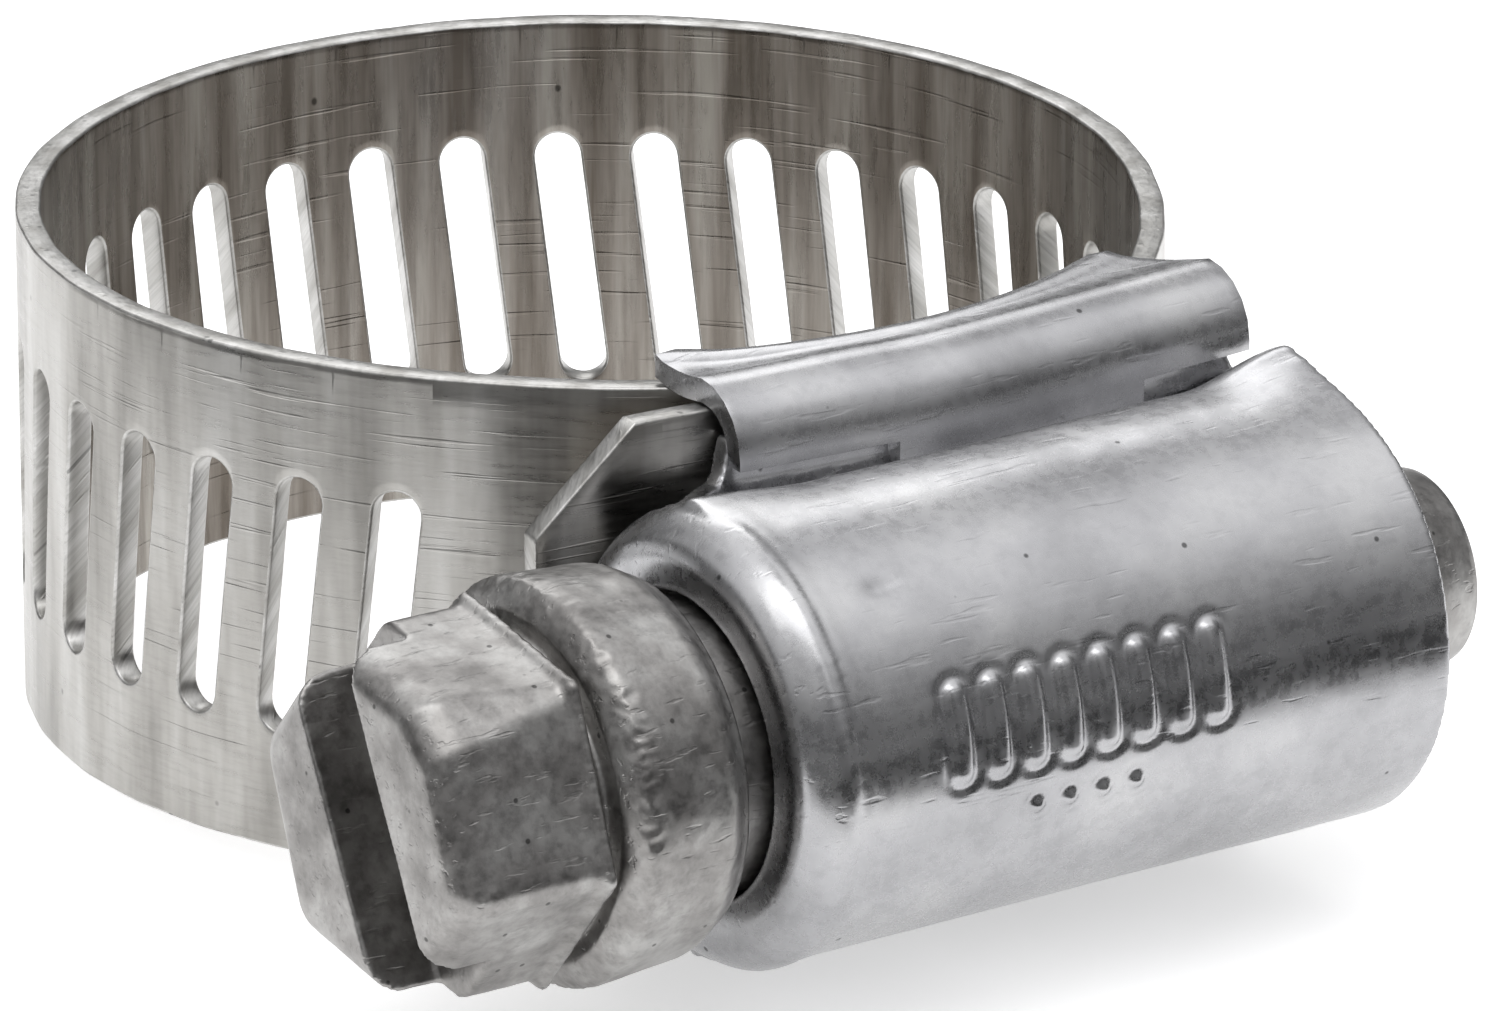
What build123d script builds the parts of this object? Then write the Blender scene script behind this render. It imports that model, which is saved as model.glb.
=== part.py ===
"""Worm-drive hose clamp with a perforated band: band, saddle, housing and slotted hex screw.

The hose axis is Z and the origin is its centre at mid band width. The screw lies along X on
the -Y side, its head towards -X. Bearings are in degrees about Z, 0 at -Y and 90 at +X.
"""

import os
from math import cos, radians, sin, sqrt

from build123d import *

# Driving dimensions, mm
band_width = 12.7
band_thick = 0.64
bore_radius = 13.5
slot_pitch = 2.54
slot_width = 1.2
slot_length = 6.7
slot_lean = 6.6  # degrees, tops towards growing bearings, as the worm's thread leans
saddle_thick = 0.6
foot_thick = 0.65
screw_drop = 19.38  # hose axis to screw axis
barrel_radius = 5.6
barrel_wall = 0.65
barrel_left = -9.3
barrel_right = 8.2
hex_flats = 7.94
worm_radius = 4.4
root_radius = 3.3

# Running gaps, mm
layer_gap = 0.08  # between the band's two layers, and over the upper one
edge_gap = 0.15  # beside the band's edges
hinge_gap = 0.005  # half the gap between two neighbouring band arcs

# Radii that follow, at mid thickness of the band
loop_mid = bore_radius + band_thick / 2
fixed_mid = loop_mid + saddle_thick
tail_mid = fixed_mid + band_thick + layer_gap
roof_radius = tail_mid + band_thick / 2 + layer_gap
roof_flat = 5  # bearing where the space for the band turns straight, each side

# Bearings along the band, from its hidden end round the loop to its free end
hidden_end = 2
fixed_leave = -19
loop_start = -54
loop_finish = 68 - 360
tail_join = 18 - 360
tail_leave = -roof_flat - 360
first_slot = -53.9
first_hinge = -31
hinge_slots = range(1, 26, 3)  # slots passed before each later hinge
tip_x = -11.1
plain_tip = 4.4  # length without slots at the free end
tip_taper = 2.7
tip_half = 3.9

# Saddle and housing
saddle_ends = [(-5.15, -11.3), (-6.75, -17.5), (9.3, -17.5), (6.0, -11.3)]
floor_bearings = (fixed_leave, 24)
roof_reach = 12
lip_tabs = [(-8, -2.1, 4.9), (-2.1, 5.2, 4.45), (5.2, 10, 4.9)]  # left, right, low edge
fold_radius = 1.1
fold_y = -15
neck_turn = 75  # degrees from +Y to where the barrel turns in to its neck
neck_half = 4.35
neck_y = -16.85
leg_y = -13
lip_left = -10.3
lip_radius = 4.9
left_hole = 3.75
right_hole = 3.3
foot_low = 3.7
foot_high = 6.4

# Screw
head_front = -19.3
head_face = 3.5  # radius of the flat left inside the head's chamfer
head_chamfer = 0.9
hex_turn = 4
driver_width = 2.5
driver_depth = 1.8
driver_turn = 64  # degrees from +Y towards +Z
collar_front = -15.0
collar_edge = 4.6
collar_radius = 4.95
collar_round = 0.5
collar_draft = 0.15
collar_back = -11.3
collar_back_radius = 4.45
neck_radius = 3.6
pilot_radius = 3.15
pilot_end = 9.0
tip_end = 11.38
tip_radius = 2.4
end_play = 0.2
tooth_root = 0.6  # half the tooth's width at its root
tooth_slope = 15
tooth_bed = 0.3  # depth of the tooth's root inside the worm's core


def out(bearing, radius=1.0):
    """Point on this bearing at this distance from the hose axis."""
    return Vector(sin(radians(bearing)), -cos(radians(bearing))) * radius


def blend_arcs(low_mid, low, high_mid, high):
    """Two tangent arcs that join concentric radii: a flat one at low, a tight one at high."""
    spread = 1 - cos(radians(low - high))
    reach = (high_mid - low_mid) * (2 + sqrt(4 - 2 * spread)) / (2 * spread)
    middle = (low + high) / 2
    flat = [out(low, -reach), low_mid + reach, low, middle]
    tight = [out(high, reach), high_mid - reach, middle, high]
    return flat, tight


def reverse(arc):
    centre, radius, start, finish = arc
    return [centre, radius, finish, start]


# The band's middle line: arcs as centre, radius, first and last bearing, then a straight run
flat_left, tight_left = blend_arcs(loop_mid, loop_start, fixed_mid, fixed_leave)
flat_right, tight_right = blend_arcs(loop_mid, loop_finish, tail_mid, tail_join)
middle_arcs = [
    [Vector(), fixed_mid, hidden_end, fixed_leave],
    reverse(tight_left),
    reverse(flat_left),
    [Vector(), loop_mid, loop_start, loop_finish],
    flat_right,
    tight_right,
    [Vector(), tail_mid, tail_join, tail_leave],
]
arc_lengths = [radius * radians(start - finish) for _, radius, start, finish in middle_arcs]
arcs_end = sum(arc_lengths)
tip_from = out(tail_leave, tail_mid)
band_end = arcs_end + (tip_from.X - tip_x) / cos(radians(roof_flat))


def band_point(length, offset=0.0):
    """Point at this length along the band, this far outside its middle line."""
    for (centre, radius, start, finish), arc_length in zip(middle_arcs, arc_lengths):
        if length <= arc_length:
            bearing = start + (finish - start) * length / arc_length
            return centre + out(bearing, radius + offset)
        length -= arc_length
    along = Vector(-cos(radians(roof_flat)), sin(radians(roof_flat)))
    return out(tail_leave, tail_mid + offset) + along * length


def band_plane(length):
    """Plane on the outside of the band at this length, its X along the hose axis."""
    inner, outer = band_point(length, -band_thick), band_point(length, band_thick)
    return Plane(origin=band_point(length), x_dir=(0, 0, 1), z_dir=outer - inner)


def length_at(bearing):
    """Length along the band to where it faces this bearing."""
    total = 0
    for (_, radius, start, finish), arc_length in zip(middle_arcs, arc_lengths):
        if start >= bearing >= finish:
            return total + radius * radians(start - bearing)
        total += arc_length
    raise ValueError("the band never faces this bearing")


def band_line(start, finish, offset):
    """Adds the band's line from start to finish at this offset to the open BuildLine."""
    stops = [start, finish]
    total = 0
    for arc_length in arc_lengths:
        total += arc_length
        if start < total < finish:
            stops.append(total)
    stops.sort()
    for first, last in zip(stops, stops[1:]):
        ends = band_point(first, offset), band_point(last, offset)
        if first >= arcs_end - 1e-6:
            Line(*ends)
        else:
            ThreePointArc(ends[0], band_point((first + last) / 2, offset), ends[1])


slots = [length_at(first_slot)]
while slots[-1] + slot_pitch < band_end - plain_tip:
    slots.append(slots[-1] + slot_pitch)
hinges = [length_at(first_hinge)]
hinges += [slots[0] + (passed - 0.5) * slot_pitch for passed in hinge_slots]


def band_piece(start, finish, tapered=False):
    """One stretch of the perforated strip, with its corners cut back at a tapered finish."""
    with BuildPart() as piece:
        with BuildSketch(Plane.XY.offset(-band_width / 2)):
            with BuildLine():
                band_line(start, finish, band_thick / 2)
                band_line(start, finish, -band_thick / 2)
                for end in (start, finish):
                    Line(band_point(end, -band_thick / 2), band_point(end, band_thick / 2))
            make_face()
        extrude(amount=band_width)
        planes = [band_plane(length) for length in slots if start < length < finish]
        if planes:
            with BuildSketch(*planes):
                SlotOverall(slot_length, slot_width, rotation=-slot_lean)
            extrude(amount=band_thick, both=True, mode=Mode.SUBTRACT)
        if tapered:
            with BuildSketch(band_plane(finish)):
                for side in (-1, 1):
                    with BuildLine():
                        Polyline(
                            (side * tip_half, 0),
                            (side * band_width, 0),
                            (side * band_width, -tip_taper),
                            (side * band_width / 2, -tip_taper),
                            close=True,
                        )
                    make_face()
            extrude(amount=band_thick, both=True, mode=Mode.SUBTRACT)
    return piece


def save(piece, name):
    piece.part.label = name
    export_step(piece.part, f"parts/{name}.step")


os.makedirs("parts", exist_ok=True)

# Band: the fixed end, nine arcs of the loop and the tail with its tapered tip
save(band_piece(0, hinges[0] - hinge_gap), "band_fixed_end")

for number, (start, finish) in enumerate(zip(hinges, hinges[1:]), 1):
    save(band_piece(start + hinge_gap, finish - hinge_gap), f"band_arc_{number:02d}")

save(band_piece(hinges[-1] + hinge_gap, band_end, tapered=True), "band_tail")
for number, length in enumerate(hinges, 1):
    point = band_point(length, -band_thick / 2)
    print(f"hinge {number} at X {point.X:.4f} Y {point.Y:.4f}")

# Saddle: a channel inside the loop whose sides fold over the housing's feet
wall_low = band_width / 2 + edge_gap
wall_high = wall_low + saddle_thick


def under_roof(offset):
    """The face from the hose axis out to the line over the band, this far outside it."""
    radius = roof_radius + offset
    left, right = out(-roof_flat, radius), out(roof_flat, radius)
    run = out(90 + roof_flat, roof_reach)
    far_left, far_right = Vector(left.X - run.X, left.Y + run.Y), right + run
    with BuildSketch() as plan:
        with BuildLine():
            ThreePointArc(left, out(0, radius), right)
            Polyline(right, far_right, (roof_reach, 0), (-roof_reach, 0), far_left, left)
        make_face()
    return plan.sketch


band_space = under_roof(0)
foot_space = under_roof(foot_thick)
saddle_space = under_roof(foot_thick + saddle_thick)
with BuildSketch() as between_ends:
    with BuildLine():
        Polyline(*saddle_ends, close=True)
    make_face()

with BuildPart() as saddle:
    for low in (-wall_high, wall_low):
        with BuildSketch(Plane.XY.offset(low)):
            add(saddle_space)
            Circle(bore_radius, mode=Mode.SUBTRACT)
            add(between_ends.sketch, mode=Mode.INTERSECT)
        extrude(amount=saddle_thick)
    with BuildSketch(Plane.XY.offset(-wall_high)):
        Circle(bore_radius + saddle_thick)
        Circle(bore_radius, mode=Mode.SUBTRACT)
        with BuildLine():
            Polyline((0, 0), *[out(bearing, screw_drop) for bearing in floor_bearings], close=True)
        make_face(mode=Mode.INTERSECT)
    extrude(amount=2 * wall_high)
    for tab_left, tab_right, tab_low in lip_tabs:
        for low in (-wall_high, tab_low):
            with BuildSketch(Plane.XY.offset(low)):
                add(saddle_space)
                add(foot_space, mode=Mode.SUBTRACT)
                add(between_ends.sketch, mode=Mode.INTERSECT)
                with Locations(((tab_left + tab_right) / 2, -screw_drop)):
                    Rectangle(tab_right - tab_left, screw_drop, mode=Mode.INTERSECT)
            extrude(amount=wall_high - tab_low)
    folds = saddle.edges().filter_by(lambda edge: edge.center().Y < fold_y)
    fillet(folds.filter_by_position(Axis.Z, wall_high - 0.01, wall_high + 0.01), fold_radius)
    folds = saddle.edges().filter_by(lambda edge: edge.center().Y < fold_y)
    fillet(folds.filter_by_position(Axis.Z, -wall_high - 0.01, 0.01 - wall_high), fold_radius)
save(saddle, "saddle")

# Housing: one formed shell, a barrel over the worm on two legs with turned-out feet
inner_radius = barrel_radius - barrel_wall
screw_line = Axis((0, -screw_drop, 0), (1, 0, 0))


def barrel_section(radius, neck_half):
    """The barrel's round outline, drawn in to a neck and closed towards the hose."""
    side_y = -screw_drop + radius * cos(radians(neck_turn))
    side_z = radius * sin(radians(neck_turn))
    with BuildSketch() as section:
        with BuildLine():
            ThreePointArc((side_y, side_z), (-screw_drop - radius, 0), (side_y, -side_z))
            Polyline(
                (side_y, -side_z),
                (neck_y, -neck_half),
                (leg_y, -neck_half),
                (leg_y, neck_half),
                (neck_y, neck_half),
                (side_y, side_z),
            )
        make_face()
    return section.sketch


def ring(*profile):
    """A turned ring about the screw's axis, from points of X and radius."""
    with BuildSketch() as section:
        with BuildLine():
            Polyline(*[(x, radius - screw_drop) for x, radius in profile], close=True)
        make_face()
    return section.sketch


left_wall = ring(
    (barrel_left, inner_radius),
    (barrel_left, barrel_radius),
    (lip_left, lip_radius),
    (lip_left, left_hole),
    (lip_left + barrel_wall, left_hole),
    (lip_left + barrel_wall, inner_radius),
)
right_wall = ring(
    (barrel_right - barrel_wall, right_hole),
    (barrel_right - barrel_wall, barrel_radius),
    (barrel_right, barrel_radius),
    (barrel_right, right_hole),
)
outer_section = barrel_section(barrel_radius, neck_half)
inner_section = barrel_section(inner_radius, neck_half - barrel_wall)

with BuildPart() as housing:
    with BuildSketch(Plane.YZ.offset(barrel_left)):
        add(outer_section)
        add(inner_section, mode=Mode.SUBTRACT)
    extrude(amount=barrel_right - barrel_left)
    revolve(left_wall, axis=screw_line)
    revolve(right_wall, axis=screw_line)
    with BuildSketch(Plane.XY.offset(-band_width)):
        add(band_space)
    extrude(amount=2 * band_width, mode=Mode.SUBTRACT)
    for low in (-foot_high, foot_low):
        with BuildSketch(Plane.XY.offset(low)):
            add(foot_space)
            add(band_space, mode=Mode.SUBTRACT)
            add(between_ends.sketch, mode=Mode.INTERSECT)
        extrude(amount=foot_high - foot_low)
save(housing, "housing")

# Screw: slotted hex head, collar, worm and pilot, turned about the screw's axis
worm_left = lip_left + barrel_wall + end_play
worm_right = barrel_right - barrel_wall - end_play
tail_slots = [length for length in slots if length > hinges[-1]]
mesh_x = min((band_point(length).X for length in tail_slots), key=abs)
turns_left = int((mesh_x - worm_left - tooth_root) / slot_pitch - 0.25)
thread_from = mesh_x - (turns_left - 0.25) * slot_pitch  # the helix starts a quarter turn on
thread_turns = int((worm_right - tooth_root - thread_from) / slot_pitch)

shank = ring(
    (head_front, 0),
    (head_front, head_face),
    (head_front + head_chamfer, hex_flats / sqrt(3)),
    (collar_front, hex_flats / sqrt(3)),
    (collar_front, 0),
)
with BuildPart() as screw:
    with BuildSketch(Plane.YZ.offset(head_front)):
        with Locations((-screw_drop, 0)):
            RegularPolygon(hex_flats / 2, 6, major_radius=False, rotation=hex_turn)
    extrude(amount=collar_front - head_front)
    revolve(shank, axis=screw_line, mode=Mode.INTERSECT)
    body = ring(
        (collar_front, 0),
        (collar_front, collar_edge),
        (collar_front + collar_round, collar_radius),
        (collar_back - 2 * collar_round, collar_radius - collar_draft),
        (collar_back, collar_back_radius),
        (collar_back, neck_radius),
        (worm_left, neck_radius),
        (worm_left, root_radius),
        (worm_right, root_radius),
        (worm_right, pilot_radius),
        (pilot_end, pilot_radius),
        (tip_end, tip_radius),
        (tip_end, 0),
    )
    revolve(body, axis=screw_line)
    with BuildLine():
        helix = Helix(
            slot_pitch,
            thread_turns * slot_pitch,
            root_radius,
            center=(thread_from, -screw_drop, 0),
            direction=(1, 0, 0),
        )
    with BuildSketch(Plane(origin=helix @ 0, x_dir=(1, 0, 0), z_dir=helix % 0)):
        with Locations((0, -tooth_bed)):
            Trapezoid(
                2 * tooth_root,
                worm_radius - root_radius + tooth_bed,
                90 - tooth_slope,
                align=(Align.CENTER, Align.MIN),
            )
    sweep(path=helix, is_frenet=True)
    with BuildSketch(Plane.YZ.offset(head_front)):
        with Locations((-screw_drop, 0)):
            Rectangle(2 * hex_flats, driver_width, rotation=driver_turn)
    extrude(amount=driver_depth, mode=Mode.SUBTRACT)
    print("thread starts", helix @ 0, "turns", thread_turns, "meshes at", mesh_x)
save(screw, "screw")
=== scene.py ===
import math

import bmesh
import bpy
import numpy as np
from mathutils import Matrix, Vector, noise


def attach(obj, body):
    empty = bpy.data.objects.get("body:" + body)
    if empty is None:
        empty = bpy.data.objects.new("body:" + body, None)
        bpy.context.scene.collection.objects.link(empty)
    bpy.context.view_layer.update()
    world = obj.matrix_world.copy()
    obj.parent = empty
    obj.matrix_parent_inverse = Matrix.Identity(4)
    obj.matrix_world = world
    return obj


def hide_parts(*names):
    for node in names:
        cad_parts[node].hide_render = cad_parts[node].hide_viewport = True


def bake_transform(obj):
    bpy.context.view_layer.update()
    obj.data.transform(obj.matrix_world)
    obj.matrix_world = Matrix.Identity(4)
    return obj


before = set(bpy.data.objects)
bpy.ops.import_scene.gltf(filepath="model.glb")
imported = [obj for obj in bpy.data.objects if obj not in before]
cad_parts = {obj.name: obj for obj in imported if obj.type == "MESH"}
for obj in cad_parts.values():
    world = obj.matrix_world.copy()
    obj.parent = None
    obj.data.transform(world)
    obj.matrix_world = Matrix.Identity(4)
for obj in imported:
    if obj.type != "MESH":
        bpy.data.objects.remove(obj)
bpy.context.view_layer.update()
mm = 0.001
print("frame loaded")


# small helpers: colours, nodes, meshes
def linear(hexColour):
    parts = [int(hexColour[i:i + 2], 16) / 255 for i in (1, 3, 5)]
    return [c / 12.92 if c <= 0.04045 else ((c + 0.055) / 1.055) ** 2.4 for c in parts] + [1]


def addNode(tree, kind, settings=None, inputs=None):
    node = tree.nodes.new(kind)
    for name, value in (settings or {}).items():
        if name == "stops":  # a ramp's stops, as place and colour
            while len(node.color_ramp.elements) < len(value):
                node.color_ramp.elements.new(0.5)
            for element, (place, colour) in zip(node.color_ramp.elements, value):
                element.position = place
                element.color = colour
        else:
            setattr(node, name, value)
    for name, value in (inputs or {}).items():
        if isinstance(value, bpy.types.NodeSocket):
            tree.links.new(value, node.inputs[name])
        else:
            node.inputs[name].default_value = value
    return node


def wobble(point, size, seed=0.0):
    return noise.noise(Vector(point) / size + Vector((seed, -seed, 2 * seed)))


def smoothStep(value, low, high):
    t = min(max((value - low) / (high - low), 0.0), 1.0)
    return t * t * (3 - 2 * t)


def makeObject(name, points, faces, materials, sharp=35):
    mesh = bpy.data.meshes.new(name)
    mesh.from_pydata([tuple(p) for p in points], [], faces)
    bm = bmesh.new()
    bm.from_mesh(mesh)
    bmesh.ops.recalc_face_normals(bm, faces=bm.faces)
    bm.to_mesh(mesh)
    bm.free()
    mesh.shade_smooth()
    mesh.set_sharp_from_angle(angle=math.radians(sharp))
    for material in materials:
        mesh.materials.append(material)
    piece = bpy.data.objects.new(name, mesh)
    bpy.context.scene.collection.objects.link(piece)
    return piece


def applyModifiers(piece):
    graph = bpy.context.evaluated_depsgraph_get()
    mesh = bpy.data.meshes.new_from_object(piece.evaluated_get(graph))
    piece.modifiers.clear()
    piece.data = mesh
    return piece


def loft(rings):
    # closed rings of the same length, skinned and capped
    count = len(rings[0])
    points = [p for ring in rings for p in ring]
    faces = []
    for i in range(len(rings) - 1):
        for j in range(count):
            k = (j + 1) % count
            faces.append((i * count + j, i * count + k, (i + 1) * count + k, (i + 1) * count + j))
    faces.append(tuple(range(count)))
    faces.append(tuple((len(rings) - 1) * count + j for j in reversed(range(count))))
    return points, faces


def joinShells(*shells):
    points, faces = [], []
    for shellPoints, shellFaces in shells:
        start = len(points)
        points += list(shellPoints)
        faces += [tuple(start + i for i in face) for face in shellFaces]
    return points, faces


# materials: stainless steel, by how each surface was made; on the strip the cloud tone also paints reflection
# bands
def steel(name, finish):
    material = bpy.data.materials.new(name)
    material.use_nodes = True
    tree = material.node_tree
    tree.nodes.clear()
    coords = addNode(tree, "ShaderNodeTexCoord")
    place = coords.outputs["UV" if finish["alongBand"] else "Object"]
    toMm = 100 if finish["alongBand"] else 1000  # the band's UVs are in units of 100 mm
    scaled = {}
    for key in ("cloud", "grain", "scratch", "speck"):
        size = finish[key + "Size"]  # feature size in mm along the three directions
        scaled[key] = addNode(tree, "ShaderNodeMapping", inputs={
            "Vector": place, "Scale": [toMm / s for s in size]}).outputs["Vector"]
    cloud = addNode(tree, "ShaderNodeTexNoise", inputs={
        "Vector": scaled["cloud"], "Scale": 1.0, "Detail": 4.0, "Roughness": 0.6})
    grain = addNode(tree, "ShaderNodeTexNoise", inputs={
        "Vector": scaled["grain"], "Scale": 1.0, "Detail": 6.0, "Roughness": 0.65})
    scratch = addNode(tree, "ShaderNodeTexNoise", inputs={
        "Vector": scaled["scratch"], "Scale": 1.0, "Detail": 2.0, "Roughness": 0.5})
    speck = addNode(tree, "ShaderNodeTexVoronoi", inputs={
        "Vector": scaled["speck"], "Scale": 1.0, "Randomness": 1.0})
    # cloud tone: random mottling on pressed and headed parts; stretched across the strip, painted reflection
    # bands, light and dark
    tint = addNode(tree, "ShaderNodeValToRGB", settings={"stops": [
        (0.34, linear(finish["dark"])), (0.5, linear(finish["middle"])),
        (0.66, linear(finish["light"]))]}, inputs={"Fac": cloud.outputs["Fac"]})
    grime = addNode(tree, "ShaderNodeValToRGB", settings={"stops": [
        (0.3, (finish["grime"],) * 3 + (1,)), (0.55, (1, 1, 1, 1))]},
        inputs={"Fac": grain.outputs["Fac"]})
    tinted = addNode(tree, "ShaderNodeMix", settings={"data_type": "RGBA", "blend_type": "MULTIPLY"},
                     inputs={0: 1.0, 6: tint.outputs["Color"], 7: grime.outputs["Color"]})
    pits = addNode(tree, "ShaderNodeMapRange", inputs={
        "Value": speck.outputs["Distance"], "From Min": finish["speckReach"] * 0.6,
        "From Max": finish["speckReach"], "To Min": finish["speckDark"], "To Max": 1.0})
    spotted = addNode(tree, "ShaderNodeMix", settings={"data_type": "RGBA", "blend_type": "MULTIPLY"},
                      inputs={0: 1.0, 6: tinted.outputs[2], 7: pits.outputs["Result"]})
    lines = addNode(tree, "ShaderNodeMapRange", inputs={
        "Value": scratch.outputs["Fac"], "From Min": 0.62, "From Max": 0.7,
        "To Min": 0.0, "To Max": 1.0})
    low, high = finish["roughness"]
    matt = addNode(tree, "ShaderNodeMapRange", inputs={
        "Value": grain.outputs["Fac"], "From Min": 0.3, "From Max": 0.7,
        "To Min": low, "To Max": high})
    fine = addNode(tree, "ShaderNodeBump", inputs={
        "Height": grain.outputs["Fac"], "Strength": finish["grainBump"], "Distance": 0.02 * mm})
    scored = addNode(tree, "ShaderNodeBump", inputs={
        "Height": lines.outputs["Result"], "Strength": finish["scratchBump"],
        "Distance": -0.02 * mm, "Normal": fine.outputs["Normal"]})
    shader = addNode(tree, "ShaderNodeBsdfPrincipled", inputs={
        "Base Color": spotted.outputs[2], "Metallic": 1.0, "Roughness": matt.outputs["Result"],
        "Normal": scored.outputs["Normal"]})
    addNode(tree, "ShaderNodeOutputMaterial", inputs={"Surface": shader.outputs["BSDF"]})
    return material


# rolled stainless strip, outside: satin, clean, with fine lines drawn along the strip, and painted reflection
# bands, light and dark, running across it
rolledOutside = steel("rolledStainlessOutside", {
    "alongBand": True, "dark": "#8b8985", "middle": "#a9a7a3", "light": "#bfbebb",
    "cloudSize": (2.2, 14, 1), "grainSize": (1.6, 0.22, 1), "scratchSize": (5.0, 0.16, 1),
    "speckSize": (2.3, 2.6, 1), "speckReach": 0.055, "speckDark": 0.35, "grime": 0.82,
    "roughness": (0.24, 0.38), "grainBump": 0.12, "scratchBump": 0.35})
# rolled stainless strip, inside: warmer and darker, with oily streaks across the strip, and thin painted
# reflection bands across it as well
rolledInside = steel("rolledStainlessInside", {
    "alongBand": True, "dark": "#6f6860", "middle": "#8d8780", "light": "#aaa69f",
    "cloudSize": (0.9, 16, 1), "grainSize": (0.5, 3.5, 1), "scratchSize": (6.0, 0.2, 1),
    "speckSize": (1.9, 2.4, 1), "speckReach": 0.06, "speckDark": 0.3, "grime": 0.7,
    "roughness": (0.22, 0.36), "grainBump": 0.12, "scratchBump": 0.4})
# sheared stainless edge: bright burnished land beside a rough torn one
shearedEdge = steel("shearedStainless", {
    "alongBand": True, "dark": "#a09e9a", "middle": "#b9b8b5", "light": "#cfcecc",
    "cloudSize": (1.1, 1.1, 1), "grainSize": (0.25, 0.12, 1), "scratchSize": (0.3, 0.3, 1),
    "speckSize": (0.9, 0.9, 1), "speckReach": 0.1, "speckDark": 0.5, "grime": 0.72,
    "roughness": (0.28, 0.46), "grainBump": 0.35, "scratchBump": 0.3})
# pressed stainless sheet, tumbled after forming: soft neutral satin with tiny pits
pressedSheet = steel("pressedStainless", {
    "alongBand": False, "dark": "#a6a6a8", "middle": "#b3b3b5", "light": "#c0c0c1",
    "cloudSize": (4.0, 4.0, 4.0), "grainSize": (0.35, 0.35, 0.35), "scratchSize": (1.8, 0.25, 0.25),
    "speckSize": (1.5, 1.5, 1.5), "speckReach": 0.06, "speckDark": 0.3, "grime": 0.88,
    "roughness": (0.21, 0.34), "grainBump": 0.14, "scratchBump": 0.2})
# cold headed stainless, tumbled: darker, mottled, with knocks on every corner
headedSteel = steel("headedStainless", {
    "alongBand": False, "dark": "#858381", "middle": "#9d9b99", "light": "#b5b4b2",
    "cloudSize": (1.7, 1.7, 1.7), "grainSize": (0.3, 0.3, 0.3), "scratchSize": (0.9, 0.2, 0.2),
    "speckSize": (1.0, 1.0, 1.0), "speckReach": 0.08, "speckDark": 0.35, "grime": 0.72,
    "roughness": (0.3, 0.46), "grainBump": 0.35, "scratchBump": 0.4})
print("materials made")

# the band: one perforated strip, bent along the line its CAD follows
band = {
    "width": 12.7, "thick": 0.64, "bore": 13.5, "pitch": 2.54, "slotWidth": 1.2,
    "slotLength": 6.7, "slotLean": 6.6, "saddleThick": 0.6, "layerGap": 0.08,
    "hiddenEnd": 2, "fixedLeave": -19, "loopStart": -54, "loopFinish": -292,
    "tailJoin": -342, "roofFlat": 5, "firstSlot": -53.9, "firstHinge": -31, "tipX": -11.1,
    "plainTip": 4.4, "tipTaper": 2.7, "tipHalf": 3.9,
    "edgeRound": 0.07,  # rounding left on sheared edges
    "edgeWander": 0.02,  # how far a sheared edge wanders
    "linkFlat": 0.01, "wave": 0.02,  # links stay flatter than slots, and the strip waves a little
}
loopMid = band["bore"] + band["thick"] / 2
fixedMid = loopMid + band["saddleThick"]
tailMid = fixedMid + band["thick"] + band["layerGap"]
tailLeave = -360 - band["roofFlat"]


def out(bearing, radius=1.0):
    angle = math.radians(bearing)
    return np.array((math.sin(angle), -math.cos(angle))) * radius


def blendArcs(lowMid, low, highMid, high):
    spread = 1 - math.cos(math.radians(low - high))
    reach = (highMid - lowMid) * (2 + math.sqrt(4 - 2 * spread)) / (2 * spread)
    middle = (low + high) / 2
    return (out(low, -reach), lowMid + reach, low, middle), (out(high, reach), highMid - reach, middle, high)


flatLeft, tightLeft = blendArcs(loopMid, band["loopStart"], fixedMid, band["fixedLeave"])
flatRight, tightRight = blendArcs(loopMid, band["loopFinish"], tailMid, band["tailJoin"])
centre = np.zeros(2)
bandArcs = [
    (centre, fixedMid, band["hiddenEnd"], band["fixedLeave"]),
    (tightLeft[0], tightLeft[1], tightLeft[3], tightLeft[2]),
    (flatLeft[0], flatLeft[1], flatLeft[3], flatLeft[2]),
    (centre, loopMid, band["loopStart"], band["loopFinish"]),
    flatRight, tightRight,
    (centre, tailMid, band["tailJoin"], tailLeave)]
arcLengths = [radius * math.radians(start - finish) for _, radius, start, finish in bandArcs]
bandEnd = sum(arcLengths) + (out(tailLeave, tailMid)[0] - band["tipX"]) / math.cos(math.radians(5))


def bandPoint(length, offset=0.0):
    for (middle, radius, start, finish), arcLength in zip(bandArcs, arcLengths):
        if length <= arcLength:
            return middle + out(start + (finish - start) * length / arcLength, radius + offset)
        length -= arcLength
    along = np.array((-math.cos(math.radians(5)), math.sin(math.radians(5))))
    return out(tailLeave, tailMid + offset) + along * length


def lengthAt(bearing):
    total = 0
    for (_, radius, start, finish), arcLength in zip(bandArcs, arcLengths):
        if start >= bearing >= finish:
            return total + radius * math.radians(start - bearing)
        total += arcLength


slots = [lengthAt(band["firstSlot"])]
while slots[-1] + band["pitch"] < bandEnd - band["plainTip"]:
    slots.append(slots[-1] + band["pitch"])
hinges = [lengthAt(band["firstHinge"])]
hinges += [slots[0] + (passed - 0.5) * band["pitch"] for passed in range(1, 26, 3)]

halfThick = band["thick"] / 2
halfWidth = band["width"] / 2
rounding = band["edgeRound"]
flatHalf = halfWidth - rounding
zLevels = ([-flatHalf, -5.6, -4.9] + [-4.2 + 8.4 * i / 16 for i in range(17)] + [4.9, 5.6, flatHalf])
edgeProfile = [(rounding, halfThick), (0.29 * rounding, halfThick - 0.29 * rounding),
               (0, halfThick - rounding), (0, rounding - halfThick),
               (0.29 * rounding, 0.29 * rounding - halfThick), (rounding, -halfThick)]


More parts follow.
